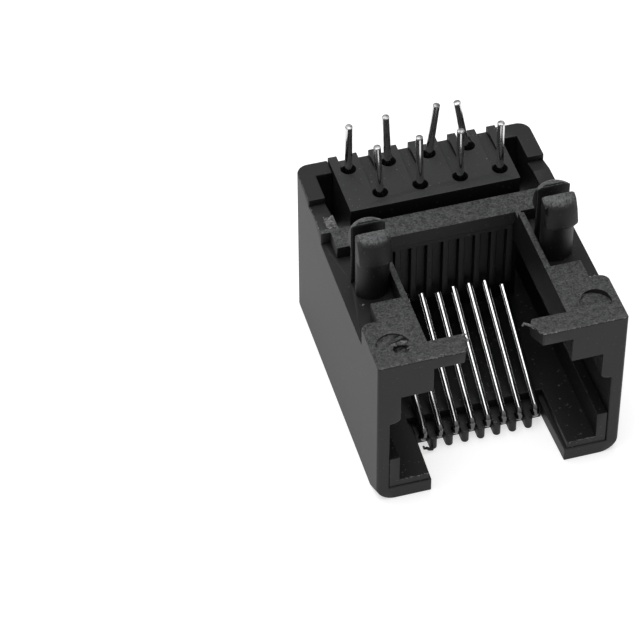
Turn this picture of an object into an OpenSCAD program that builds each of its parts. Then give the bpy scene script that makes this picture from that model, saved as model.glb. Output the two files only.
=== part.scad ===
// Side-entry eight-way modular jack for a circuit board, with its latch side towards the board.
// Lengths are in mm. Z = 0 is the face that meets the board and +Z goes into the board.
// Y = 0 is the line through both board pegs, -Y is the plug's side. X = 0 is the middle.

/* [Housing] */
// Width across the front face
front_w = 15.24; // [14.9:0.05:15.8]
// Width across the back face
back_w = 15.0; // [14.9:0.05:15.4]
// Height from the board face to the outer face of the top wall
body_h = 11.36; // [11.36:0.02:11.8]
// Distance from the peg line to the front face
front_y = 7.92; // [7.8:0.02:8.4]
// Distance from the peg line to the back face
back_y = 10.22; // [10.1:0.02:10.6]
// Thickness of the top wall
top_wall = 0.96; // [0.8:0.02:1.0]
// Radius of the upright corners at the back
back_corner_r = 0.8; // [0.4:0.1:1]
// Radius of the upright corners at the front
front_corner_r = 0.18; // [0.1:0.02:0.3]
// Radius of the top wall's front corners
nose_r = 1.2; // [0.6:0.1:1.4]
// Length over which that rounding runs out
nose_len = 1.5; // [1:0.1:2]

/* [Board face] */
// Length of the two front pads that stand on the board
pad_len = 3.82; // [3.4:0.02:4]
// Length of the step behind each pad
pad_step_len = 1.5; // [1:0.1:1.8]
// Half width to the outer side of that step
pad_step_x = 6.5; // [6:0.05:6.8]
// Radius of the pad's outer back corner
pad_corner_r = 0.6; // [0.2:0.1:0.9]
// Width of the raised lip along the latch channel
lip_w = 0.4; // [0.3:0.02:0.44]
// Depth of the floor around the pegs
floor_drop = 1.25; // [1:0.05:1.4]
// Depth of the cross bar and of the arms beside it
bar_drop = 0.4; // [0.3:0.02:0.6]
// Depth of the frame at the back
frame_drop = 0.2; // [0.1:0.02:0.3]
// Start of the arms, behind the peg line
arm_y = 4.2; // [4:0.05:4.3]
// Start of the back frame, behind the peg line
frame_y = 7.0; // [6.6:0.1:7.6]
// Depth of the cut in front of the back frame
frame_cut = 0.45; // [0.3:0.05:0.6]
// Length over which that cut runs out
frame_cut_run = 1.1; // [0.8:0.1:1.6]
// Radius of the round ejector marks
mark_r = 1.0; // [0.8:0.05:1.1]
// Half the distance between the ejector marks
mark_x = 6.2; // [6:0.05:6.3]
// Distance from the ejector marks to the peg line
mark_y = 6.3; // [6.2:0.05:6.5]
// Slope of the ejector marks in degrees
mark_slope = 7; // [4:1:10]

/* [Plug opening] */
// Half width of the latch channel
channel_x = 4.22; // [4.1:0.02:4.3]
// Half width of the plug cavity
cavity_x = 6.18; // [6.1:0.02:6.22]
// Depth of the shoulders on both sides of the latch channel
shoulder_z = 2.74; // [2.6:0.02:2.8]
// Half width of the side grooves
groove_x = 6.85; // [6.75:0.02:6.9]
// Depth at which the side grooves start
groove_z = 4.5; // [4.4:0.05:4.7]
// Height of the round lead from the cavity wall into the groove
groove_lead = 0.36; // [0.3:0.02:0.5]
// Reach of the latch stops into the channel
stop_reach = 2.15; // [1.8:0.05:2.3]
// Length of the latch stops along the plug
stop_len = 1.47; // [1.2:0.05:1.7]
// Thickness of the latch stops
stop_t = 0.92; // [0.8:0.02:1.1]

/* [Cross bar and guide comb] */
// Front face of the cross bar, behind the peg line
bar_y = 2.77; // [2.7:0.02:2.9]
// Length of the cross bar along the plug
bar_len = 1.7; // [1.6:0.02:1.8]
// Height of the cross bar's front face
bar_h = 1.0; // [0.8:0.05:1.2]
// Set-back of the ledge below the bar
ledge_back = 0.25; // [0.15:0.05:0.3]
// Lower edge of that ledge
ledge_z = 1.95; // [1.8:0.05:2.1]
// Half width of the guide comb
comb_x = 4.3; // [4.25:0.01:4.35]
// Lower end of the guide comb
comb_z = 6.9; // [6.6:0.1:7.2]
// Depth of the comb's slots
comb_slot = 0.42; // [0.3:0.02:0.5]
// Width of the comb's ribs
comb_rib = 0.4; // [0.3:0.02:0.46]

/* [Board pegs] */
// Distance between the two board pegs
peg_pitch = 11.43; // [11.3:0.01:11.5]
// Height of the pegs above the board face
peg_h = 3.44; // [3.1:0.02:3.6]
// Diameter at the peg's tip
peg_tip_d = 2.2; // [2:0.05:2.4]
// Diameter over the barbs
peg_barb_d = 3.2; // [2.9:0.05:3.4]
// Diameter of the stem
peg_stem_d = 2.36; // [2.1:0.02:2.5]
// Width of the peg across its flat sides
peg_w = 2.06; // [1.9:0.02:2.2]
// Height of the barbs' lower edge above the board face
barb_z = 1.8; // [1.65:0.05:2]
// Width of the slot that splits the peg
peg_slot = 0.75; // [0.6:0.05:0.9]
// Set-back of that slot from the peg's middle
peg_slot_y = 0.12; // [0:0.02:0.2]

/* [Contact carrier] */
// Half width of the carrier's board plate
plate_x = 5.39; // [5.3:0.02:5.45]
// Front edge of the board plate, behind the peg line
plate_y = 5.19; // [5.1:0.02:5.3]
// Half width to the outer side of the slots beside the plate
slot_x = 6.45; // [6.3:0.05:6.6]
// Back end of those slots, behind the peg line
slot_y = 9.05; // [8.9:0.05:9.2]
// Thickness of the carrier's floor over the top wall
carrier_floor = 0.5; // [0.4:0.02:0.6]
// Height of the side rails above that floor's underside
rail_h = 2.43; // [2.2:0.02:2.6]
// Width of the side rails
rail_w = 0.65; // [0.5:0.05:0.7]
// Front edge of the contact comb, ahead of the peg line
comb_front_y = 4.1; // [4:0.02:4.2]
// Front edge of the carrier's floor between the rails, ahead of the peg line
floor_front_y = 3.2; // [3:0.05:3.4]
// Height of the contact comb
front_comb_h = 0.86; // [0.8:0.02:0.92]
// Reach of the comb's ribs past its front edge
front_rib_reach = 0.72; // [0.5:0.02:0.9]
// Width of the comb's ribs
front_rib_w = 0.48; // [0.4:0.01:0.5]
// Diameter of the pin holes in the board plate
pin_hole_d = 0.95; // [0.8:0.02:1.0]
// Depth of the pin holes
pin_hole_depth = 1.6; // [1.4:0.1:2]
// Width of the lead grooves behind the pin holes
lead_w = 0.74; // [0.6:0.02:0.8]
// Depth of the lead grooves at the back edge
lead_depth = 0.45; // [0.3:0.05:0.6]
// Half width of the carrier's leg behind its step
leg_back_x = 4.95; // [4.9:0.05:5.3]
// Place of that step, which stops the carrier in the housing, behind the peg line
leg_step_y = 0.2; // [-0.5:0.1:0.4]
// Gap between the carrier and the housing
seat_gap = 0.03; // [0.02:0.01:0.05]

/* [Contacts] */
// Diameter of the contact wire
wire_d = 0.46; // [0.4:0.01:0.5]
// Distance between contacts in the plug opening
contact_pitch = 1.016; // [1:0.002:1.03]
// Distance between neighbouring solder pins across the board
pin_pitch = 1.27; // [1.26:0.01:1.28]
// Distance between the two rows of solder pins
row_gap = 2.54; // [2.5:0.02:2.6]
// Distance from the peg line to the nearer row
first_row_y = 6.35; // [6.3:0.01:6.4]
// Length of the solder pins above the board face
pin_len = 3.75; // [3.4:0.05:4]
// Bend radius of the contacts at the front comb
front_bend_r = 0.45; // [0.4:0.01:0.5]
// Depth of the contacts' lower run
run_z = 10.85; // [10.8:0.01:10.9]
// Front of the contacts, ahead of the peg line
contact_front_y = 4.4; // [4.36:0.01:4.5]
// Bend radius of the contacts inside the carrier
inner_bend_r = 0.7; // [0.6:0.05:1]
// Gap between a contact and the plastic around it
wire_gap = 0.02; // [0.01:0.01:0.03]
// Rise of the contacts' free arms in degrees; its sine and cosine are short decimals
arm_rise = 29.814; // [29.556, 29.814, 30.277]
// Distance from the peg line to each contact's free end
contact_ends = [3.0, 3.18, 3.0, 2.85, 3.02, 3.02, 3.0, 2.6];
// Bend of each solder pin in degrees: how far it leans, and the side it leans to from +X
pin_leans = [
    [4, -100], [3, 180], [3, -160], [2, 125],
    [7, 12], [1, 180], [10, 178], [1, -155]
];

/* [Hidden] */

$fn = 48;
// Length that a cut runs past the face that it opens
past = 1;
// Flat steps in one rounded corner of an outline
arc_steps = 8;

contact_count = len(contact_ends);
front = -front_y;
back = back_y;
top = -body_h;
rear_bar_y = bar_y + bar_len;
lining_z = top + top_wall;
guide_z = -groove_z - groove_lead;
// Half width of the slot in the top wall, where the leg fills it
slot_half = channel_x - 0.15;
wire_r = wire_d / 2;
peg_x = peg_pitch / 2;

// Depth inside the carrier at which a leaning pin leaves the upright, and the radius of that bend
pin_root_z = -0.75;
lean_r = 1.5;

// Sideways jog of a contact inside the leg: where it starts behind the peg line, its radius and angle
jog_y = 4;
jog_r = 1;
jog_a = atan2(7, 24);

// Place of contact i across the plug opening, and of its solder pin across and along the board
function contact_x(i) = (i - (contact_count - 1) / 2) * contact_pitch;
function pin_x(i) = (i - (contact_count - 1) / 2) * pin_pitch;
function pin_y(i) = first_row_y + (i % 2 == 0 ? row_gap : 0);

// ---- Outlines ----

function unit(v) = v / norm(v);
function turned(v, a) = [v.x * cos(a) - v.y * sin(a), v.x * sin(a) + v.y * cos(a)];

// Points that replace the corner at "at" by an arc of radius r
function corner(before, at, after, r) =
    r == 0 ? [at] :
    let (
        u = unit(before - at),
        v = unit(after - at),
        half = acos(u * v) / 2,
        centre = at + unit(u + v) * r / sin(half),
        first = at + u * r / tan(half) - centre,
        last = at + v * r / tan(half) - centre,
        sweep = sign(cross(first, last)) * (180 - 2 * half)
    )
    [for (k = [0 : arc_steps]) centre + turned(first, sweep * k / arc_steps)];

// Outline with each corner rounded by its own radius
function rounded(points, radii) =
    let (n = len(points))
    [for (i = [0 : n - 1]) each corner(points[(i + n - 1) % n], points[i], points[(i + 1) % n], radii[i])];

// Rectangle between two corners
module area(from, to) {
    translate(from) square(to - from);
}

// Copies of the children on the right and on the left
module both_sides() {
    children();
    mirror([1, 0, 0]) children();
}

// Solid between two heights, with its outline seen from the board
module upright(z0, z1) {
    translate([0, 0, z0]) linear_extrude(z1 - z0) children();
}

// Solid between two places along Y, with its outline seen from the front as [x, z]
module along_y(y0, y1) {
    translate([0, y1, 0]) rotate([90, 0, 0]) linear_extrude(y1 - y0) children();
}

// Solid between two places along X, with its outline seen from the side as [y, z]
module along_x(x0, x1) {
    translate([x0, 0, 0]) rotate([90, 0, 90]) linear_extrude(x1 - x0) children();
}

// ---- Housing ----

module body_plan() {
    polygon(rounded(
        [[-front_w / 2, front], [front_w / 2, front], [back_w / 2, back], [-back_w / 2, back]],
        [front_corner_r, front_corner_r, back_corner_r, back_corner_r]
    ));
}

// Outline of one front pad with the step behind it and the lip along the channel
module pad_plan() {
    pad_back = front + pad_len;
    wide = front_w / 2;
    polygon(rounded(
        [[channel_x, front - past], [wide, front - past], [wide, pad_back], [channel_x, pad_back]],
        [0, 0, pad_corner_r, 0]
    ));
    area([channel_x, front], [pad_step_x, pad_back + pad_step_len]);
    area([channel_x, front], [channel_x + lip_w, bar_y]);
}

// Everything that is lower than the board face
module board_face_levels() {
    wide = front_w / 2 + past;
    both_sides() {
        upright(-floor_drop, past) difference() {
            area([0, front - past], [wide, bar_y]);
            pad_plan();
        }
        upright(-floor_drop, past) area([slot_x, bar_y - past], [wide, arm_y]);
        upright(-bar_drop, past) area([0, bar_y - past / 2], [slot_x + past / 2, rear_bar_y + past]);
        upright(-bar_drop, past) area([slot_x, arm_y - past / 2], [wide, frame_y]);
        along_x(slot_x, wide) polygon([
            [frame_y - frame_cut_run, -bar_drop], [frame_y, -frame_drop - frame_cut],
            [frame_y, past], [frame_y - frame_cut_run, past]
        ]);
        upright(-frame_drop, past) area([0, frame_y - past], [wide, back + past]);
        translate([mark_x, -mark_y, 0]) rotate([-mark_slope, 0, 0]) cylinder(r = mark_r, h = past);
    }
}

// The plug's way in, with the lead into the side grooves, on the right half
module opening_profile() {
    polygon([
        [-past, -shoulder_z], [cavity_x, -shoulder_z], [cavity_x, -groove_z],
        for (k = [0 : arc_steps])
            [
                cavity_x + (groove_x - cavity_x) * (1 - cos(90 * k / arc_steps)),
                -groove_z - groove_lead * sin(90 * k / arc_steps)
            ],
        [groove_x, lining_z], [-past, lining_z]
    ]);
}

module plug_cavity() {
    both_sides() along_y(front - past, rear_bar_y) opening_profile();
    // Latch channel, open towards the board
    upright(-shoulder_z - past, past) area([-channel_x, front - past], [channel_x, rear_bar_y - past]);
}

// Room for the contact carrier, which slides in from the back
module carrier_room() {
    both_sides() {
        along_y(rear_bar_y - past, back + past) area([-past, lining_z], [groove_x, guide_z]);
        upright(guide_z - past, past) area([-past, rear_bar_y], [slot_x, slot_y]);
        upright(guide_z - past, past) area([-past, slot_y - past], [plate_x + seat_gap, back + past]);
    }
}

// Slot along the top wall, open at the front and filled by the carrier's leg behind the comb
module top_wall_slot() {
    upright(top - past, lining_z + past) {
        polygon([
            [-channel_x, front - past], [channel_x, front - past],
            [slot_half, -comb_front_y], [-slot_half, -comb_front_y]
        ]);
        area([-slot_half, -comb_front_y - past / 2], [slot_half, leg_step_y + past]);
        area([-leg_back_x - seat_gap, leg_step_y], [leg_back_x + seat_gap, back + past]);
    }
}

// Rounds the corner between the top wall and a side at the front, less and less behind it
module nose_cut() {
    translate([front_w / 2, front, top]) rotate([-90, 0, 0])
        linear_extrude(height = nose_len, scale = 0) polygon([
            [0, 0],
            for (k = [0 : arc_steps])
                [-nose_r * (1 - sin(90 * k / arc_steps)), -nose_r * (1 - cos(90 * k / arc_steps))]
        ]);
}

// Cross bar with the ledge and the comb that guides the contacts' free ends
module bar_and_comb() {
    bar_under = -bar_drop - bar_h;
    comb_y = bar_y + ledge_back;
    wall_y = comb_y + comb_slot;
    slot_w = contact_pitch - comb_rib;
    along_x(-slot_x - past / 2, slot_x + past / 2) area([bar_y, bar_under], [rear_bar_y, -bar_drop]);
    difference() {
        union() {
            along_x(-cavity_x - past / 2, cavity_x + past / 2)
                area([comb_y, -shoulder_z - past / 4], [rear_bar_y, bar_under]);
            along_x(-comb_x, comb_x) polygon([
                [comb_y, -ledge_z], [rear_bar_y, -ledge_z], [rear_bar_y, -comb_z],
                [wall_y, -comb_z], [comb_y, -comb_z + comb_slot]
            ]);
        }
        for (i = [0 : contact_count - 1])
            along_x(contact_x(i) - slot_w / 2, contact_x(i) + slot_w / 2)
                area([comb_y - past, -comb_z - past], [wall_y, -ledge_z]);
    }
}

// Stop that holds the plug's latch, with a blunt end that is swept back
module latch_stop() {
    root_x = channel_x + lip_w;
    tip_x = channel_x - stop_reach;
    sweep = 0.3;
    nose_y = front + 0.7 * stop_len;
    upright(-stop_t, 0) polygon(rounded(
        [
            [root_x, front], [tip_x + sweep, front], [tip_x - sweep / 2, nose_y],
            [tip_x, front + stop_len], [root_x, front + stop_len]
        ],
        [0, 0.15, 0.3, 0.2, 0]
    ));
}

// Split peg that snaps into the board
module board_peg() {
    edge = 0.2;
    barb_rise = 0.2;
    root_z = -floor_drop - edge;
    difference() {
        intersection() {
            rotate_extrude() polygon([
                [0, root_z], [peg_stem_d / 2, root_z], [peg_stem_d / 2, barb_z],
                [peg_barb_d / 2, barb_z + barb_rise], [peg_barb_d / 2, barb_z + 2 * barb_rise],
                [peg_tip_d / 2 + edge / 2, peg_h - edge], [peg_tip_d / 2 - edge / 2, peg_h - edge / 4],
                [peg_tip_d / 2 - edge, peg_h], [0, peg_h]
            ]);
            upright(root_z - past, peg_h + past) area([-peg_w / 2, -peg_barb_d], [peg_w / 2, peg_barb_d]);
        }
        upright(-floor_drop, peg_h + past)
            area([-peg_w, peg_slot_y - peg_slot / 2], [peg_w, peg_slot_y + peg_slot / 2]);
    }
}

module housing() {
    color("#2b2c2e") union() {
        difference() {
            upright(top, 0) body_plan();
            board_face_levels();
            plug_cavity();
            carrier_room();
            top_wall_slot();
            both_sides() nose_cut();
        }
        bar_and_comb();
        both_sides() {
            latch_stop();
            translate([peg_x, 0, 0]) board_peg();
        }
    }
}

// ---- Contact carrier ----

// Floor between the rails, notched at the front where the plug's contacts reach the comb
module carrier_floor() {
    wide = groove_x - seat_gap;
    notch_x = channel_x + 0.13;
    upright(lining_z, lining_z + carrier_floor) difference() {
        area([-wide, front + 0.08], [wide, back]);
        area([-notch_x, front - past], [notch_x, -floor_front_y]);
    }
}

module carrier_rail() {
    wide = groove_x - seat_gap;
    upright(lining_z, lining_z + rail_h) area([wide - rail_w, front + 0.08], [wide, back]);
}

// Leg that closes the slot of the top wall, with the comb that the contacts bend round
module comb_leg() {
    leg_x = slot_half - seat_gap;
    comb_top = top + front_comb_h;
    rib_r = front_rib_w / 2;
    upright(top, comb_top) area([-leg_x, -comb_front_y], [leg_x, -floor_front_y + past]);
    upright(top, lining_z + carrier_floor) {
        area([-leg_x, -floor_front_y], [leg_x, leg_step_y + past]);
        area([-leg_back_x, leg_step_y + seat_gap], [leg_back_x, back]);
    }
    for (i = [0 : contact_count - 2])
        translate([contact_x(i) + contact_pitch / 2, 0, 0]) upright(top, comb_top) {
            rib_tip = -comb_front_y - front_rib_reach + rib_r;
            area([-rib_r, rib_tip], [rib_r, -comb_front_y + rib_r]);
            translate([0, rib_tip]) circle(r = rib_r);
        }
}

// Block at the back that holds the solder pins, with its plate on the board
module pin_block() {
    upright(lining_z, 0) area([-plate_x, plate_y], [plate_x, back]);
}

// Round hole for one pin, with the lead groove that runs out of the back edge
module pin_opening(i) {
    translate([pin_x(i), pin_y(i), 0]) {
        translate([0, 0, -pin_hole_depth]) cylinder(d = pin_hole_d, h = pin_hole_depth + past);
    }
    along_x(pin_x(i) - lead_w / 2, pin_x(i) + lead_w / 2) polygon([
        [pin_y(i), 0], [back + past, -lead_depth * (back + past - pin_y(i)) / (back - pin_y(i))],
        [back + past, past], [pin_y(i), past]
    ]);
}

module contact_carrier() {
    color("#323335") difference() {
        union() {
            carrier_floor();
            both_sides() carrier_rail();
            comb_leg();
            pin_block();
        }
        for (i = [0 : contact_count - 1]) {
            pin_opening(i);
            contact_wire(i, wire_r + wire_gap);
        }
    }
}

// ---- Contacts ----

// Straight wire of length l along +Z; the children go on from its end
module run(r, l) {
    cylinder(r = r, h = l);
    translate([0, 0, l]) children();
}

// Bend of the wire from +Z by a degrees, towards the direction "side" in the XY plane
module bend(r, bend_r, a, side) {
    rotate([0, 0, side]) {
        translate([bend_r, 0, 0]) rotate([90, 0, 180]) rotate_extrude(angle = a)
            translate([bend_r, 0]) circle(r = r);
        translate([bend_r * (1 - cos(a)), 0, bend_r * sin(a)]) rotate([0, a, 0]) rotate([0, 0, -side]) children();
    }
}

// One contact, from its solder pin through the carrier to its free end in the plug opening
module contact_wire(i, r) {
    // Pin above its root, leaning as far as it is bent
    lean = pin_leans[i][0];
    translate([pin_x(i), pin_y(i), pin_root_z])
        bend(r, lean_r, lean, pin_leans[i][1]) run(r, pin_len - pin_root_z - lean_r * sin(lean));

    // Down through the block, forward along the leg and across to the contact's own track
    shift = contact_x(i) - pin_x(i);
    jog_side = shift < 0 ? 180 : 0;
    slant = (abs(shift) - 2 * jog_r * (1 - cos(jog_a))) / sin(jog_a);
    jog_len = 2 * jog_r * sin(jog_a) + slant * cos(jog_a);
    bend_y = front_bend_r - contact_front_y;
    down_z = inner_bend_r - run_z;
    translate([pin_x(i), pin_y(i), down_z]) {
        run(r, pin_root_z - down_z);
        rotate([180, 0, 0]) bend(r, inner_bend_r, 90, 90)
            run(r, pin_y(i) - inner_bend_r - jog_y) bend(r, jog_r, jog_a, jog_side)
            run(r, slant) bend(r, jog_r, jog_a, jog_side + 180)
            run(r, jog_y - jog_len - bend_y) free_arm(i, r, bend_y);
    }
}

// Bend round the comb and the straight arm to the free end
module free_arm(i, r, bend_y) {
    arm = (contact_ends[i] - bend_y + front_bend_r * sin(arm_rise)) / cos(arm_rise);
    bend(r, front_bend_r, 180 - arm_rise, 90) run(r, arm);
}

module contact(i) {
    color("#c9cbd0") contact_wire(i, wire_r);
}

housing();
contact_carrier();
contact(0);  // contact_1
contact(1);  // contact_2
contact(2);  // contact_3
contact(3);  // contact_4
contact(4);  // contact_5
contact(5);  // contact_6
contact(6);  // contact_7
contact(7);  // contact_8
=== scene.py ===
"""Looks of a side-entry board jack: moulded black housing, slide-in carrier and bent wire contacts."""

from __future__ import annotations

import logging
import math
import random
from dataclasses import dataclass
from enum import Enum

import bmesh
import bpy
from mathutils import Matrix, Vector, noise

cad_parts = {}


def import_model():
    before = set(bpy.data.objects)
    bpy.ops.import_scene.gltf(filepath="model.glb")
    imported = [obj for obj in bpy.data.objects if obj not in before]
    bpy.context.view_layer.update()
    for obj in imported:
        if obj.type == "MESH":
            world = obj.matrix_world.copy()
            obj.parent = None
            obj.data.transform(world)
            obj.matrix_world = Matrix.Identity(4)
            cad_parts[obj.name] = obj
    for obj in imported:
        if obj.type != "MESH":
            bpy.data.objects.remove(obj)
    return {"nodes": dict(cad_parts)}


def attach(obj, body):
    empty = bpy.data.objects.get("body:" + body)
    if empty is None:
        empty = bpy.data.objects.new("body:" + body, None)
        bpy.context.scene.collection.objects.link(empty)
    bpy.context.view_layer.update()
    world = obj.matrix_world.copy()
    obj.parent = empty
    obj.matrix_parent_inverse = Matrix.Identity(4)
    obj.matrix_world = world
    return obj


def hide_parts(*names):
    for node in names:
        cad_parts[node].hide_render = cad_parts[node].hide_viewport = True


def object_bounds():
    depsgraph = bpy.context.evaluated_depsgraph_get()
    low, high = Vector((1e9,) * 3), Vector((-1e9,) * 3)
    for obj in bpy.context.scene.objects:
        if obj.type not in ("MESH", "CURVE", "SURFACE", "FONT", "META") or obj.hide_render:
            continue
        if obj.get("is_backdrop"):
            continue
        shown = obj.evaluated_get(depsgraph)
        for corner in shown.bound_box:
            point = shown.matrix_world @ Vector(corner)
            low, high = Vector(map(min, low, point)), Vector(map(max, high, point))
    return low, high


Box = tuple[list[float], list[float]]
Place = tuple[float, float, float]

LOG = logging.getLogger("board_jack")
MM = 0.001
# Points closer than this are one point after a cut, in metres.
SLIVER = 0.0006 * MM
# A cut that leaves a smaller share of a piece has gone wrong.
LEAST_LEFT = 0.995
# Spacing of flash crumbs, as a share of their size.
CRUMB_PITCH = 0.55
# Seed of the noise that makes the crumbs and the gouge uneven.
NOISE_SEED = 1795444948


class Slot(Enum):
    """Material slots of the record."""

    HOUSING = "housing_plastic"
    CARRIER = "carrier_plastic"
    CONTACT = "contact_wire"


def grey(value: float, warm: float = 0.0) -> tuple[float, float, float, float]:
    """Make a nearly neutral colour.

    Args:
        value: Linear brightness.
        warm: Share by which red rises and blue falls.

    Returns:
        The colour with full alpha.
    """
    return (value * (1.0 + warm), value, value * (1.0 - warm), 1.0)


def in_metres(place: Place) -> Vector:
    """Turn a place in mm into one in metres."""
    return Vector(place) * MM


def finished(
    name: str, form: bmesh.types.BMesh, material: bpy.types.Material
) -> bpy.types.Object:
    """Turn a modelled form into a piece of the part.

    Args:
        name: Name of the piece.
        form: Its form, which is freed.
        material: Its material.

    Returns:
        The piece.
    """
    mesh = bpy.data.meshes.new(name)
    form.to_mesh(mesh)
    form.free()
    mesh.shade_smooth()
    mesh.set_sharp_from_angle(angle=math.radians(20.0))
    mesh.materials.append(material)
    piece = bpy.data.objects.new(name, mesh)
    bpy.context.scene.collection.objects.link(piece)
    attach(piece, "root")
    LOG.info("made %s: %d faces", name, len(mesh.polygons))
    return piece


class NodeChain:
    """Small helper that adds nodes to one tree and links them."""

    def __init__(self, tree: bpy.types.NodeTree) -> None:
        """Keep the tree.

        Args:
            tree: Node tree that the helper fills.
        """
        self.tree = tree

    def add(self, kind: str, **settings: object) -> bpy.types.Node:
        """Add one node.

        Args:
            kind: Type name of the node.
            **settings: Properties to set on it.

        Returns:
            The new node.
        """
        node = self.tree.nodes.new(kind)
        for name, value in settings.items():
            setattr(node, name, value)
        return node

    def link(self, source: bpy.types.NodeSocket, target: bpy.types.NodeSocket) -> None:
        """Join two sockets."""
        self.tree.links.new(source, target)

    def feed(self, value: object, target: bpy.types.NodeSocket) -> None:
        """Link a socket to the target, or set a plain value on it.

        Args:
            value: Socket or plain value.
            target: Input that takes it.
        """
        if isinstance(value, bpy.types.NodeSocket):
            self.link(value, target)
        else:
            target.default_value = value

    def noise(
        self, vector: object, scale: float, detail: float = 3.0, rough: float = 0.55
    ) -> bpy.types.NodeSocket:
        """Add a noise pattern.

        Args:
            vector: Coordinates.
            scale: Cells per metre.
            detail: Octaves.
            rough: Strength of the finer octaves.

        Returns:
            The pattern's value.
        """
        node = self.add("ShaderNodeTexNoise")
        self.feed(vector, node.inputs["Vector"])
        node.inputs["Scale"].default_value = scale
        node.inputs["Detail"].default_value = detail
        node.inputs["Roughness"].default_value = rough
        return node.outputs["Fac"]

    def math(self, operation: str, a: object, b: object) -> bpy.types.NodeSocket:
        """Add a calculation.

        Args:
            operation: Blender's name of it.
            a: First value.
            b: Second value.

        Returns:
            The result.
        """
        node = self.add("ShaderNodeMath", operation=operation)
        self.feed(a, node.inputs[0])
        self.feed(b, node.inputs[1])
        return node.outputs[0]

    def span(
        self, value: object, low: float, high: float, to_low: float = 0.0, to_high: float = 1.0
    ) -> bpy.types.NodeSocket:
        """Map a span of values onto another.

        Args:
            value: Value to map.
            low: Start of its span.
            high: End of its span.
            to_low: Result at the start.
            to_high: Result at the end.

        Returns:
            The mapped value, clamped.
        """
        node = self.add("ShaderNodeMapRange", clamp=True)
        self.feed(value, node.inputs["Value"])
        for name, number in (("From Min", low), ("From Max", high), ("To Min", to_low), ("To Max", to_high)):
            node.inputs[name].default_value = number
        return node.outputs["Result"]

    def band(
        self, value: object, limits: tuple[float, float], to_low: float = 0.0, to_high: float = 1.0
    ) -> bpy.types.NodeSocket:
        """Map a stretch of places onto another span.

        Args:
            value: Place along one axis, in metres.
            limits: Start and end of the stretch, in mm.
            to_low: Result at the start.
            to_high: Result at the end.

        Returns:
            The mapped value, clamped.
        """
        return self.span(value, limits[0] * MM, limits[1] * MM, to_low, to_high)

    def mix(self, factor: object, a: object, b: object) -> bpy.types.NodeSocket:
        """Mix two colours.

        Args:
            factor: Share of the second colour.
            a: First colour.
            b: Second colour.

        Returns:
            The mixed colour.
        """
        node = self.add("ShaderNodeMix", data_type="RGBA")
        self.feed(factor, node.inputs["Factor"])
        self.feed(a, node.inputs[6])
        self.feed(b, node.inputs[7])
        return node.outputs[2]


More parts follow.
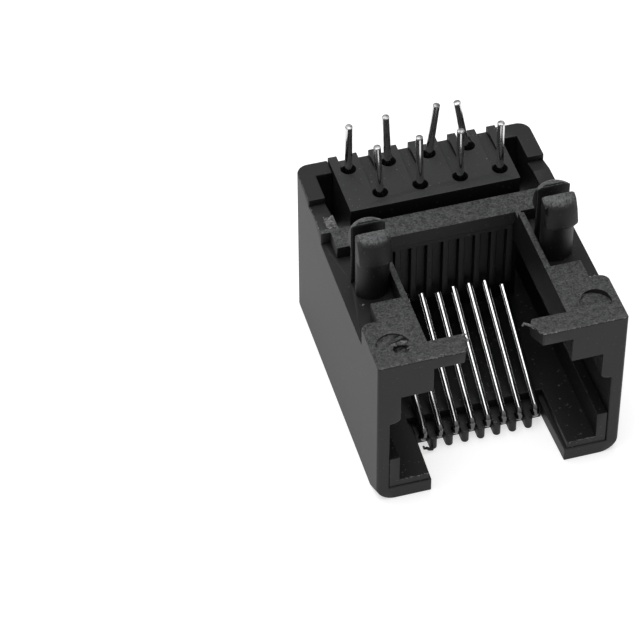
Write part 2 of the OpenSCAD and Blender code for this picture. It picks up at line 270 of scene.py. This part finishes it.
class GrainGroup:
    """Shared pattern of the mouldings: eroded grain on the board side, painted light on up-facing faces and
    peg tips, faint clouds and dust elsewhere.
    """

    NAME = "moulding_grain"
    # Stretches in mm over which each mask runs in or out.
    ABOVE_FLOOR = (-1.0, -0.9)
    BELOW_PEGS = (0.1, 0.3)
    BEFORE_FRAME = (4.45, 4.6)
    # Height of the peg tips, whose up-facing faces get a painted highlight.
    PEG_TIP = (3.0, 3.25)
    FRONT_RIM = (-7.75, -7.2)
    # Cells per metre of each noise.
    FINE = 8200.0
    COARSE = 3300.0
    PATCHES = 1300.0
    CLOUDS = 420.0
    SPECKS = 5200.0
    # Share of the fine noise in the grain.
    FINE_SHARE = 0.62

    def build(self) -> bpy.types.NodeTree:
        """Build the group once.

        Returns:
            The group, with the outputs Grain, Board, Cloud, Dust and Height.
        """
        if self.NAME in bpy.data.node_groups:
            return bpy.data.node_groups[self.NAME]
        tree = bpy.data.node_groups.new(self.NAME, "ShaderNodeTree")
        for name in ("Grain", "Board", "Cloud", "Dust", "Height"):
            tree.interface.new_socket(name, in_out="OUTPUT", socket_type="NodeSocketFloat")
        chain = NodeChain(tree)
        coordinates = chain.add("ShaderNodeTexCoord")
        place = coordinates.outputs["Object"]
        ends = chain.add("NodeGroupOutput")
        spot = chain.add("ShaderNodeSeparateXYZ")
        chain.link(place, spot.inputs[0])
        facing = chain.add("ShaderNodeSeparateXYZ")
        chain.link(coordinates.outputs["Normal"], facing.inputs[0])
        raised = chain.math(
            "MULTIPLY",
            chain.band(spot.outputs["Z"], self.ABOVE_FLOOR),
            chain.band(spot.outputs["Z"], self.BELOW_PEGS, 1.0, 0.0),
        )
        before_frame = chain.band(spot.outputs["Y"], self.BEFORE_FRAME, 1.0, 0.0)
        eroded_side = chain.math("MULTIPLY", raised, before_frame)
        board_side = chain.math("MULTIPLY", chain.span(facing.outputs["Z"], 0.45, 0.9), eroded_side)
        fine = chain.noise(place, self.FINE, 2.0, 0.6)
        coarse = chain.noise(place, self.COARSE, 2.0)
        grain = chain.math(
            "ADD",
            chain.math("MULTIPLY", fine, self.FINE_SHARE),
            chain.math("MULTIPLY", coarse, 1.0 - self.FINE_SHARE),
        )
        eroded = chain.math("MULTIPLY", board_side, chain.span(grain, 0.38, 0.66))
        # Painted highlight: the up-facing faces of the peg tips are lightened, in the grain.
        tip_sheen = chain.band(spot.outputs["Z"], self.PEG_TIP)
        tip_sheen = chain.math("MULTIPLY", tip_sheen, chain.span(grain, 0.36, 0.6, 0.25, 1.6))
        tip_sheen = chain.math("MULTIPLY", tip_sheen, chain.span(facing.outputs["Z"], 0.1, 0.8))
        front = chain.band(spot.outputs["Y"], self.FRONT_RIM, 1.0, 0.0)
        patchy = chain.span(chain.noise(place, self.PATCHES, 3.0), 0.47, 0.62, 0.0, 0.9)
        scuffed = chain.math("MULTIPLY", board_side, chain.math("MULTIPLY", front, patchy))
        # Scuffs at the front rim, together with the painted highlight on the peg tips.
        scraped = chain.math("MAXIMUM", tip_sheen, scuffed)
        chain.link(chain.math("MAXIMUM", eroded, scraped), ends.inputs["Grain"])
        # Painted light: up-facing faces near the board plane are lightened, in the fine grain.
        upper = chain.math("MULTIPLY", raised, chain.span(facing.outputs["Z"], 0.45, 0.9))
        chain.link(chain.math("MULTIPLY", upper, chain.span(fine, 0.2, 0.8, 0.5, 1.5)), ends.inputs["Board"])
        chain.link(chain.noise(place, self.CLOUDS, 4.0), ends.inputs["Cloud"])
        chain.link(chain.span(chain.noise(place, self.SPECKS, 1.0), 0.70, 0.76), ends.inputs["Dust"])
        height = chain.math("MULTIPLY", chain.span(board_side, 0.0, 1.0, 0.38, 1.0), grain)
        chain.link(height, ends.inputs["Height"])
        return tree


@dataclass(frozen=True)
class MouldedPlastic:
    """Black moulded plastic with a fine grain, and painted light on up-facing faces and peg tips."""

    name: str
    base: float
    roughness: float
    grain: float
    # Colour of the up-facing faces near the board plane, painted lighter as lit tops.
    worn: float
    dust: float = 0.12
    gloss: float = 0.34
    warm: float = -0.02
    # Colour of the grain, the scuffs and the painted highlight on the peg tips.
    scraped: float = 0.16
    speck: float = 0.25
    bump_depth: float = 0.03

    def build(self) -> bpy.types.Material:
        """Build the material.

        Returns:
            The finished material.
        """
        material = bpy.data.materials.new(self.name)
        material.use_nodes = True
        chain = NodeChain(material.node_tree)
        shader = material.node_tree.nodes["Principled BSDF"]
        pattern = chain.add("ShaderNodeGroup")
        pattern.node_tree = GrainGroup().build()
        plain = chain.mix(
            chain.span(pattern.outputs["Cloud"], 0.3, 0.7),
            grey(self.base * 0.85, self.warm),
            grey(self.base * 1.15, self.warm),
        )
        # Painted light: the up-facing faces near the board plane take the lighter colour.
        worn = chain.mix(pattern.outputs["Board"], plain, grey(self.worn, self.warm))
        grain = chain.math("MULTIPLY", pattern.outputs["Grain"], self.grain)
        grained = chain.mix(grain, worn, grey(self.scraped, self.warm))
        dust = chain.math("MULTIPLY", pattern.outputs["Dust"], self.dust)
        colour = chain.mix(dust, grained, grey(self.speck))
        chain.link(colour, shader.inputs["Base Color"])
        shader.inputs["Roughness"].default_value = self.roughness
        shader.inputs["Specular IOR Level"].default_value = self.gloss
        bump = chain.add("ShaderNodeBump")
        bump.inputs["Strength"].default_value = 0.5
        bump.inputs["Distance"].default_value = self.bump_depth * MM
        chain.link(pattern.outputs["Height"], bump.inputs["Height"])
        chain.link(bump.outputs["Normal"], shader.inputs["Normal"])
        return material


@dataclass(frozen=True)
class TornPlastic:
    """Plastic that has turned pale where it was torn or scraped."""

    name: str = "torn_plastic"
    base: float = 0.11

    def build(self) -> bpy.types.Material:
        """Build the material.

        Returns:
            The finished material.
        """
        material = bpy.data.materials.new(self.name)
        material.use_nodes = True
        chain = NodeChain(material.node_tree)
        shader = material.node_tree.nodes["Principled BSDF"]
        place = chain.add("ShaderNodeTexCoord").outputs["Object"]
        tone = chain.span(chain.noise(place, 6000.0, 3.0), 0.35, 0.65)
        mottled = chain.mix(tone, grey(self.base * 0.35), grey(self.base * 1.7))
        chain.link(mottled, shader.inputs["Base Color"])
        shader.inputs["Roughness"].default_value = 0.7
        return material


@dataclass(frozen=True)
class TinnedWire:
    """Bright tin-plated spring wire, with painted shade on its low front bends."""

    name: str = "tinned_wire"
    tone: float = 0.72
    roughness: float = 0.13
    sheared_roughness: float = 0.42
    # Painted shade on the low front bends: their share of the tone, and the height and front stretches in mm
    # over which it runs in.
    bend_shade: float = 0.16
    cut_height: tuple[float, float] = (3.62, 3.68)
    bend_shade_height: tuple[float, float] = (-10.1, -9.6)
    bend_shade_front: tuple[float, float] = (-4.0, -3.6)

    def build(self) -> bpy.types.Material:
        """Build the material.

        Returns:
            The finished material.
        """
        material = bpy.data.materials.new(self.name)
        material.use_nodes = True
        chain = NodeChain(material.node_tree)
        shader = material.node_tree.nodes["Principled BSDF"]
        place = chain.add("ShaderNodeTexCoord").outputs["Object"]
        streaks = chain.add("ShaderNodeMapping")
        chain.link(place, streaks.inputs["Vector"])
        streaks.inputs["Scale"].default_value = (1.0, 0.12, 0.12)
        drawn = chain.noise(streaks.outputs["Vector"], 9000.0, 2.0)
        plated = chain.mix(chain.span(drawn, 0.3, 0.7), grey(self.tone * 0.85), grey(self.tone))
        spot = chain.add("ShaderNodeSeparateXYZ")
        chain.link(place, spot.inputs[0])
        cut_end = chain.band(spot.outputs["Z"], self.cut_height)
        smeared = chain.span(chain.noise(place, 5200.0, 2.0), 0.4, 0.6)
        sheared = chain.mix(smeared, grey(self.tone * 0.3), grey(self.tone * 0.8))
        # Painted shade: the bends low at the front are darkened.
        low = chain.band(spot.outputs["Z"], self.bend_shade_height, 1.0, 0.0)
        bent = chain.math("MULTIPLY", low, chain.band(spot.outputs["Y"], self.bend_shade_front, 1.0, 0.0))
        shaded_bends = chain.mix(bent, plated, grey(self.tone * self.bend_shade))
        chain.link(chain.mix(cut_end, shaded_bends, sheared), shader.inputs["Base Color"])
        shader.inputs["Metallic"].default_value = 1.0
        rough = chain.span(cut_end, 0.0, 1.0, self.roughness, self.sheared_roughness)
        chain.link(rough, shader.inputs["Roughness"])
        return material


@dataclass(frozen=True)
class SoftEdges:
    """A moulding with its sharp edges broken, as they come out of a tool."""

    node: str
    piece: str
    width: float
    sharp: float = 25.0
    # How far the lower flank of the peg barbs reaches down, and where that flank is, all in mm.
    barb_sag: float = 0.0
    barb_low: float = 1.7
    barb_high: float = 2.3
    barb_x: float = 4.4

    def build(
        self, nodes: dict[str, bpy.types.Object], material: bpy.types.Material, slot: Slot
    ) -> bpy.types.Object:
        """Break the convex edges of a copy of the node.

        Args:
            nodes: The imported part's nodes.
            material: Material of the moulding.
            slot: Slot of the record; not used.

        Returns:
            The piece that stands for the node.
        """
        form = bmesh.new()
        form.from_mesh(nodes[self.node].data)
        bmesh.ops.remove_doubles(form, verts=form.verts, dist=1e-7)
        bmesh.ops.dissolve_limit(
            form,
            angle_limit=math.radians(0.6),
            verts=form.verts,
            edges=form.edges,
            use_dissolve_boundaries=False,
        )
        for vert in form.verts:
            if self.barb_low < vert.co.z / MM < self.barb_high and abs(vert.co.x) > self.barb_x * MM:
                vert.co.z -= self.barb_sag * MM
        edges = [
            edge
            for edge in form.edges
            if edge.is_manifold and edge.calc_face_angle_signed() > math.radians(self.sharp)
        ]
        bmesh.ops.bevel(
            form,
            geom=edges,
            offset=self.width * MM,
            offset_type="OFFSET",
            segments=2,
            profile=0.5,
            affect="EDGES",
            clamp_overlap=False,
            loop_slide=True,
            material=-1,
        )
        bmesh.ops.remove_doubles(form, verts=form.verts, dist=1e-7)
        bmesh.ops.triangulate(form, faces=[face for face in form.faces if len(face.verts) > 4])
        piece = finished(self.piece, form, material)
        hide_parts(self.node)
        return piece


def flatten_shading(piece: bpy.types.Object) -> None:
    """Let the large faces of a piece set its shading, so that they look flat.

    Args:
        piece: Piece with softened edges.
    """
    weighted = piece.modifiers.new("flat_faces", "WEIGHTED_NORMAL")
    weighted.mode = "FACE_AREA"
    weighted.weight = 100
    weighted.keep_sharp = True


def box_of(piece: bpy.types.Object) -> Box:
    """Find the lower and the upper corner of a piece's own mesh.

    Args:
        piece: Piece that stands at the origin.

    Returns:
        Both corners in metres.
    """
    along = list(zip(*(vert.co for vert in piece.data.vertices)))
    return [min(values) for values in along], [max(values) for values in along]


def keep_inside(form: bmesh.types.BMesh, box: Box) -> None:
    """Hold every point of a form just inside the box of the part.

    Args:
        form: Form whose points are held.
        box: Lower and upper corner of the part.
    """
    inset = 0.004 * MM
    for vert in form.verts:
        vert.co = Vector(
            min(max(value, low + inset), high - inset) for value, low, high in zip(vert.co, box[0], box[1])
        )


def volume_of(mesh: bpy.types.Mesh) -> float:
    """Measure the volume that a mesh encloses."""
    form = bmesh.new()
    form.from_mesh(mesh)
    volume = form.calc_volume()
    form.free()
    return volume


def close_up(mesh: bpy.types.Mesh) -> None:
    """Merge the slivers that a cut leaves and fill what is open, so that the mesh is closed.

    Args:
        mesh: Mesh that was cut.
    """
    form = bmesh.new()
    form.from_mesh(mesh)
    bmesh.ops.triangulate(form, faces=[face for face in form.faces if len(face.verts) > 4])
    bmesh.ops.remove_doubles(form, verts=form.verts, dist=SLIVER)
    bmesh.ops.dissolve_degenerate(form, edges=form.edges, dist=SLIVER)
    gaps = [edge for edge in form.edges if edge.is_boundary]
    if gaps:
        bmesh.ops.holes_fill(form, edges=gaps)
    LOG.info("open edges: %d, now %d", len(gaps), sum(not edge.is_manifold for edge in form.edges))
    form.to_mesh(mesh)
    form.free()


def carve(piece: bpy.types.Object, name: str, form: bmesh.types.BMesh) -> None:
    """Take a form out of a piece, which stays whole if the cut goes wrong.

    Args:
        piece: Piece that is cut.
        name: Name of the cut.
        form: Form to take out, which is freed.
    """
    mesh = bpy.data.meshes.new(name)
    form.to_mesh(mesh)
    form.free()
    cutter = bpy.data.objects.new(name, mesh)
    bpy.context.scene.collection.objects.link(cutter)
    cut = piece.modifiers.new(name, "BOOLEAN")
    cut.operation = "DIFFERENCE"
    cut.object = cutter
    cut.solver = "EXACT"
    result = bpy.data.meshes.new_from_object(piece.evaluated_get(bpy.context.evaluated_depsgraph_get()))
    piece.modifiers.clear()
    bpy.data.objects.remove(cutter)
    close_up(result)
    left = volume_of(result) / volume_of(piece.data)
    if LEAST_LEFT < left < 1.0:
        piece.data = result
        LOG.info("cut %s: %d faces", name, len(result.polygons))
    else:
        LOG.warning("cut %s failed, %.4f of the piece was left: it stays whole", name, left)


@dataclass(frozen=True)
class Gouge:
    """Dent that a tool has left in one ejector mark."""

    centre: Place = (-5.85, -6.64, 0.06)
    radii: Place = (0.5, 0.36, 0.46)
    turn: float = -10.0

    def form(self) -> bmesh.types.BMesh:
        """Shape the uneven hollow.

        Returns:
            The form to take out.
        """
        form = bmesh.new()
        bmesh.ops.create_uvsphere(form, u_segments=32, v_segments=16, radius=MM)
        shape = Matrix.Rotation(math.radians(self.turn), 4, "Z") @ Matrix.Diagonal((*self.radii, 1.0))
        bmesh.ops.transform(form, verts=form.verts, matrix=Matrix.Translation(in_metres(self.centre)) @ shape)
        for vert in form.verts:
            vert.co += noise.noise_vector(vert.co * 5000.0) * 0.05 * MM
        return form


@dataclass(frozen=True)
class DeepMark:
    """Side of an ejector mark that went deeper than the rest."""

    centre: tuple[float, float] = (6.2, -6.1)
    radius: float = 0.92
    tilt: float = 17.0
    towards: float = -40.0

    def form(self) -> bmesh.types.BMesh:
        """Shape the tilted pin end.

        Returns:
            The form to take out.
        """
        form = bmesh.new()
        radius, height = self.radius * MM, 0.6 * MM
        bmesh.ops.create_cone(form, cap_ends=True, segments=64, radius1=radius, radius2=radius, depth=height)
        bmesh.ops.translate(form, verts=form.verts, vec=(0.0, 0.0, height / 2))
        turn = Matrix.Rotation(math.radians(self.towards), 4, "Z")
        turn = turn @ Matrix.Rotation(math.radians(-self.tilt), 4, "X") @ turn.inverted()
        place = Matrix.Translation(in_metres((*self.centre, 0.0)))
        bmesh.ops.transform(form, verts=form.verts, matrix=place @ turn)
        return form


@dataclass(frozen=True)
class FlashRidge:
    """Ragged flash that a worn tool leaves along an edge."""

    name: str
    line: tuple[Place, ...]
    size: float
    pitch: float
    seed: int

    def build(self, material: bpy.types.Material, box: Box) -> bpy.types.Object:
        """Set small crumbs of uneven size along the line.

        Args:
            material: Material of the crumbs.
            box: Box of the part, which no crumb leaves.

        Returns:
            The ridge.
        """
        chance = random.Random(self.seed)
        form = bmesh.new()
        for start, end in zip(self.line[:-1], self.line[1:]):
            a, b = in_metres(start), in_metres(end)
            count = max(1, round((b - a).length / (self.pitch * MM)))
            for step in range(count):
                at = a.lerp(b, (step + chance.random()) / count)
                self.crumb(form, at, chance)
        keep_inside(form, box)
        return finished(self.name, form, material)

    def crumb(self, form: bmesh.types.BMesh, at: Vector, chance: random.Random) -> None:
        """Add one crumb.

        Args:
            form: Form that takes it.
            at: Its place.
            chance: Source of its size and turn.
        """
        size = self.size * MM * (0.3 + chance.random() ** 3)
        turn = Matrix.Rotation(chance.uniform(-0.5, 0.5), 4, Vector((chance.random(), chance.random(), 1.0)))
        flat = Matrix.Diagonal((1.4, chance.uniform(0.4, 0.8), chance.uniform(0.3, 0.6), 1.0))
        shift = Vector((chance.uniform(-1, 1), chance.uniform(-1, 1), -0.4)) * self.size * MM * 0.3
        made = bmesh.ops.create_icosphere(
            form, subdivisions=2, radius=size / 2, matrix=Matrix.Translation(at + shift) @ turn @ flat
        )
        for vert in made["verts"]:
            vert.co += noise.noise_vector(vert.co * 14000.0) * size * 0.22


@dataclass(frozen=True)
class TornPatch:
    """Torn skin on one arm of the housing, where a sprue or a stay was broken off."""

    centre: Place = (-6.74, 4.98, -0.4)
    half: tuple[float, float] = (0.36, 0.66)
    lift: float = 0.12

    def build(self, material: bpy.types.Material) -> bpy.types.Object:
        """Raise an uneven skin with a ragged outline.

        Args:
            material: Pale torn plastic.

        Returns:
            The patch.
        """
        form = bmesh.new()
        bmesh.ops.create_grid(form, x_segments=26, y_segments=34, size=1.0)
        for vert in form.verts:
            u, v = vert.co.x, vert.co.y
            edge = max(abs(u), abs(v)) ** 2 * 0.75 + 0.45 * noise.noise(Vector((u * 2.2, v * 2.2, 3.1)))
            rough = 0.5 + 0.5 * noise.noise(Vector((u * 5.0, v * 7.0, 0.0)))
            rough += 0.25 * noise.noise(Vector((u * 13.0, v * 17.0, 0.0)))
            height = self.lift * max(0.0, rough) * max(0.0, 1.0 - edge * 1.15) - 0.03
            place = Vector(self.centre) + Vector((u * self.half[0], v * self.half[1], height))
            vert.co = place * MM
        bmesh.ops.solidify(form, geom=form.faces, thickness=0.03 * MM)
        bmesh.ops.recalc_face_normals(form, faces=form.faces)
        return finished("torn_patch", form, material)


@dataclass(frozen=True)
class Hair:
    """Fine string of plastic that hangs on an edge."""

    name: str
    path: tuple[Place, ...]
    thick: float

    def build(self, material: bpy.types.Material) -> bpy.types.Object:
        """Draw a thin tapered tube along the path.

        Args:
            material: Material of the string.

        Returns:
            The string.
        """
        form = bmesh.new()
        points = [in_metres(point) for point in self.path]
        rings = []
        for index, point in enumerate(points):
            along = points[min(index + 1, len(points) - 1)] - points[max(index - 1, 0)]
            radius = self.thick * MM / 2 * (1.0 - 0.5 * index / len(points))
            ring = bmesh.ops.create_circle(form, segments=8, radius=radius)["verts"]
            aim = along.to_track_quat("Z", "Y").to_matrix().to_4x4()
            bmesh.ops.transform(form, verts=ring, matrix=Matrix.Translation(point) @ aim)
            rings.append(set(ring))
        for near, far in zip(rings[:-1], rings[1:]):
            loops = [edge for edge in form.edges if set(edge.verts) <= near or set(edge.verts) <= far]
            bmesh.ops.bridge_loops(form, edges=loops)
        bmesh.ops.holes_fill(form, edges=[edge for edge in form.edges if edge.is_boundary])
        bmesh.ops.recalc_face_normals(form, faces=form.faces)
        return finished(self.name, form, material)


@dataclass
class Studio:
    """Camera, floor and soft lights."""

    azimuth: float = -15.66
    elevation: float = 45.31
    roll: float = -0.5
    distance: float = 0.184
    target: Place = (-0.00804, 0.00276, -0.00615)
    lens: float = 170.05
    paper_white: float = 0.6

    def camera(self) -> bpy.types.Object:
        """Place the camera at the viewing angle.

        Returns:
            The scene's camera.
        """
        a, e = math.radians(self.azimuth), math.radians(self.elevation)
        back = Vector((math.sin(a) * math.cos(e), -math.cos(a) * math.cos(e), math.sin(e)))
        right = Vector((math.cos(a), math.sin(a), 0.0))
        up = back.cross(right)
        data = bpy.data.cameras.new("camera")
        data.lens = self.lens
        data.sensor_width = 36.0
        data.clip_start = 0.01
        data.clip_end = 10.0
        camera = bpy.data.objects.new("camera", data)
        turn = Matrix((right, up, back)).transposed() @ Matrix.Rotation(math.radians(self.roll), 3, "Z")
        camera.matrix_world = Matrix.Translation(Vector(self.target) + back * self.distance) @ turn.to_4x4()
        bpy.context.scene.collection.objects.link(camera)
        bpy.context.scene.camera = camera
        return camera

    def floor(self, height: float) -> bpy.types.Object:
        """Lay the white floor under the part.

        Args:
            height: Level of the floor.

        Returns:
            The floor.
        """
        form = bmesh.new()
        bmesh.ops.create_grid(form, x_segments=1, y_segments=1, size=1.5)
        bmesh.ops.translate(form, verts=form.verts, vec=(0.0, 0.0, height))
        mesh = bpy.data.meshes.new("floor")
        form.to_mesh(mesh)
        form.free()
        floor = bpy.data.objects.new("floor", mesh)
        bpy.context.scene.collection.objects.link(floor)
        mesh.materials.append(self.paper())
        floor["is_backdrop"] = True
        return floor

    def paper(self) -> bpy.types.Material:
        """Build the floor's white, which keeps a faint shadow.

        Returns:
            The floor's material.
        """
        material = bpy.data.materials.new("white_paper")
        material.use_nodes = True
        chain = NodeChain(material.node_tree)
        shader = material.node_tree.nodes["Principled BSDF"]
        shader.inputs["Base Color"].default_value = grey(0.6)
        shader.inputs["Roughness"].default_value = 1.0
        shader.inputs["Specular IOR Level"].default_value = 0.0
        glow = chain.add("ShaderNodeEmission")
        glow.inputs["Color"].default_value = grey(1.0)
        glow.inputs["Strength"].default_value = self.paper_white
        lit = chain.add("ShaderNodeAddShader")
        chain.link(shader.outputs[0], lit.inputs[0])
        chain.link(glow.outputs[0], lit.inputs[1])
        path = chain.add("ShaderNodeLightPath")
        seen = chain.math("MAXIMUM", path.outputs["Is Camera Ray"], path.outputs["Is Glossy Ray"])
        seen = chain.math("MAXIMUM", seen, path.outputs["Is Transmission Ray"])
        blend = chain.add("ShaderNodeMixShader")
        chain.link(seen, blend.inputs[0])
        chain.link(shader.outputs[0], blend.inputs[1])
        chain.link(lit.outputs[0], blend.inputs[2])
        chain.link(blend.outputs[0], material.node_tree.nodes["Material Output"].inputs["Surface"])
        return material

    def light(self, name: str, place: Place, size: float, power: float) -> bpy.types.Object:
        """Hang one soft lamp that looks at the part.

        Args:
            name: Name of the lamp.
            place: Where it hangs.
            size: Side of its square face.
            power: Power in watts.

        Returns:
            The lamp.
        """
        data = bpy.data.lights.new(name, "AREA")
        data.size = size
        data.energy = power
        lamp = bpy.data.objects.new(name, data)
        lamp.location = place
        lamp.rotation_euler = (Vector((0.0, 0.0, 0.0)) - Vector(place)).to_track_quat("-Z", "Y").to_euler()
        bpy.context.scene.collection.objects.link(lamp)
        return lamp

    def world(self, strength: float) -> None:
        """Light the part softly from all around.

        Args:
            strength: Brightness of the surroundings.
        """
        world = bpy.data.worlds.new("studio")
        bpy.context.scene.world = world
        world.use_nodes = True
        background = world.node_tree.nodes["Background"]
        background.inputs["Color"].default_value = (1.0, 1.0, 1.0, 1.0)
        background.inputs["Strength"].default_value = strength


@dataclass
class BoardJack:
    """The whole jack: two mouldings, eight contacts and the marks of its making."""

    nodes: dict[str, bpy.types.Object]
    edge: float = 0.07

    def mouldings(self) -> Box:
        """Dress the housing and the carrier.

        Returns:
            The box of the housing.
        """
        black = MouldedPlastic("black_moulding", 0.006, 0.53, 0.46, 0.010).build()
        edges = SoftEdges("housing", "housing_moulding", self.edge, barb_sag=0.32)
        housing = edges.build(self.nodes, black, Slot.HOUSING)
        carve(housing, "gouge", Gouge().form())
        carve(housing, "deep_mark", DeepMark().form())
        flatten_shading(housing)
        matt = MouldedPlastic("black_carrier", 0.005, 0.5, 0.2, 0.024, 0.3).build()
        edges = SoftEdges("contact_carrier", "carrier_moulding", 0.04)
        carrier = edges.build(self.nodes, matt, Slot.CARRIER)
        flatten_shading(carrier)
        return box_of(housing)

    def contacts(self) -> None:
        """Dress the eight wires."""
        wire = TinnedWire().build()
        for number in range(1, 9):
            SoftEdges(f"contact_{number}", f"wire_{number}", 0.07, 60.0).build(self.nodes, wire, Slot.CONTACT)

    def marks(self, box: Box) -> None:
        """Add flash, torn skin and strings of plastic.

        Args:
            box: Box of the housing, which no crumb leaves.
        """
        black = bpy.data.materials["black_carrier"]
        pale = TornPlastic().build()
        TornPatch().build(pale)
        ridges = (
            (
                "flash_left_stop",
                0.22,
                ((-4.6, -7.84, 0.0), (-2.4, -7.84, 0.0), (-1.97, -7.2, 0.0), (-2.05, -6.6, 0.0)),
            ),
            ("flash_left_pad", 0.17, ((-7.4, -7.84, 0.0), (-4.6, -7.84, 0.0))),
            ("flash_right_pad", 0.15, ((2.4, -7.86, 0.0), (7.4, -7.86, 0.0))),
            ("flash_right_stop", 0.16, ((2.4, -7.84, 0.0), (1.97, -7.2, 0.0), (2.05, -6.6, 0.0))),
            ("flash_right_back", 0.1, ((4.3, -4.05, 0.0), (6.9, -4.12, 0.0))),
            ("flash_right_side", 0.05, ((7.56, -7.7, 0.0), (7.54, -4.6, 0.0))),
            (
                "flash_arm",
                0.16,
                ((-7.45, 4.26, -0.4), (-7.2, 4.5, -0.4), (-6.95, 4.26, -0.4), (-6.55, 4.3, -0.4)),
            ),
            ("flash_arm_side", 0.08, ((-7.5, 6.8, -0.4), (-7.52, 4.4, -0.4))),
            ("flash_frame_side", 0.05, ((-7.46, 9.4, -0.2), (-7.49, 7.1, -0.2))),
            ("specks_by_peg", 0.14, ((-6.75, -1.4, -1.22), (-6.5, -1.45, -1.22))),
            ("speck_by_lip", 0.1, ((-4.85, -1.42, -1.22), (-4.8, -1.42, -1.22))),
            ("flash_left_foot", 0.12, ((-6.7, -7.82, -9.9), (-4.35, -7.82, -9.9))),
            ("flash_right_foot", 0.1, ((4.35, -7.82, -9.9), (6.7, -7.82, -9.9))),
            (
                "chip_of_gouge",
                0.5,
                ((-6.2, -6.3, 0.04), (-5.8, -6.16, 0.1), (-5.42, -6.3, 0.06), (-5.3, -6.6, 0.02)),
            ),
        )
        for seed, (name, size, line) in enumerate(ridges):
            FlashRidge(name, line, size, CRUMB_PITCH * size, seed).build(pale, box)
        Hair(
            "stop_string",
            ((2.3, -7.2, -0.25), (1.9, -6.85, -0.1), (1.55, -6.75, 0.05), (1.4, -6.95, 0.12)),
            0.2,
        ).build(pale)
        Hair(
            "rib_string",
            (
                (-3.15, -4.9, -11.2),
                (-3.4, -4.92, -11.14),
                (-3.56, -4.92, -11.0),
                (-3.7, -4.9, -11.02),
                (-3.74, -4.88, -10.86),
            ),
            0.24,
        ).build(black)


def main() -> None:
    """Build the scene."""
    logging.basicConfig(level=logging.INFO, format="%(name)s: %(message)s")
    noise.seed_set(NOISE_SEED)
    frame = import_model()
    cad_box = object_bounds()
    bpy.context.scene.view_settings.view_transform = "Standard"
    studio = Studio()
    studio.camera()
    studio.floor(cad_box[0][2])
    studio.world(0.34)
    studio.light("top_lamp", (-0.08, 0.06, 0.50), 0.6, 2.9)
    jack = BoardJack(frame["nodes"])
    box = jack.mouldings()
    jack.contacts()
    jack.marks(box)


if __name__ == "__main__":
    main()
